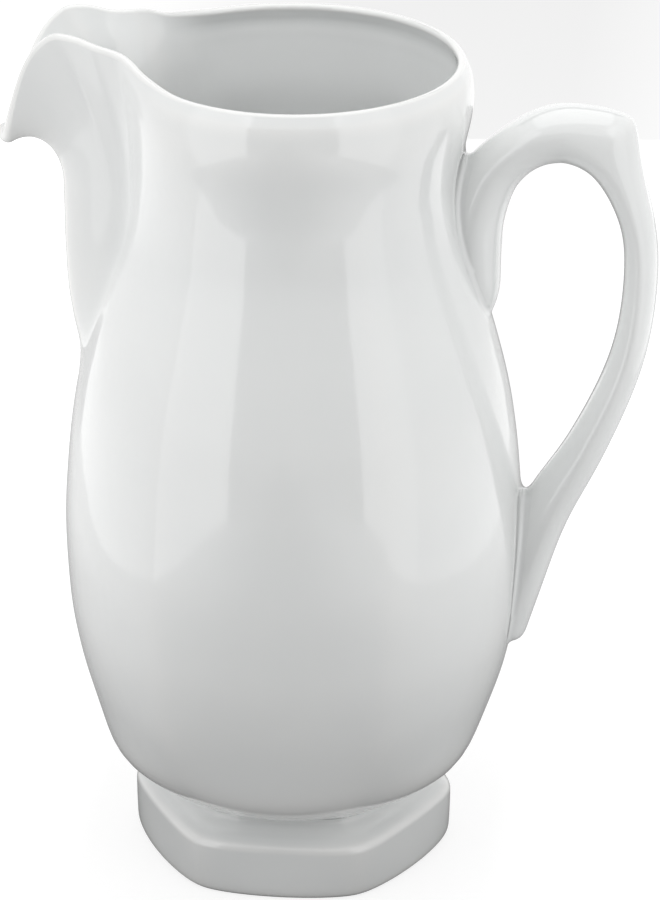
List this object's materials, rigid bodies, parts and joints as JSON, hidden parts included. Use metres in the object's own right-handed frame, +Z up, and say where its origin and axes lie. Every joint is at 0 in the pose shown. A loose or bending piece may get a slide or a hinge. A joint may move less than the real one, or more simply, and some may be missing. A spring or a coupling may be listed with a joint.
{
  "type": "pitcher",
  "caption": "White glazed ceramic pitcher with a softly panelled belly, narrow neck, drooping pouring spout, loop handle with a thumb spur and a hexagonal foot ring.",
  "frame": {"origin": "centre of the foot's standing rim, on the axis of the body, at the height of the surface that the pitcher stands on", "axes": "+Z up along the axis of the body, +X from the axis towards the handle, so the spout points along -X, and +Y by the right-hand rule"},
  "size_m": [0.1579, 0.1104, 0.2138],
  "materials": {
    "white_glaze": "glossy clear glaze over white ceramic",
    "glazed_slip": "fired luting slip under the same clear glaze"
  },
  "bodies": {
    "root": {"body": "white_glaze", "spout": "white_glaze", "spout_slip": "glazed_slip", "foot_ring": "white_glaze", "foot_slip": "glazed_slip", "handle": "white_glaze", "upper_handle_slip": "glazed_slip", "lower_handle_slip": "glazed_slip"}
  },
  "joints": []
}
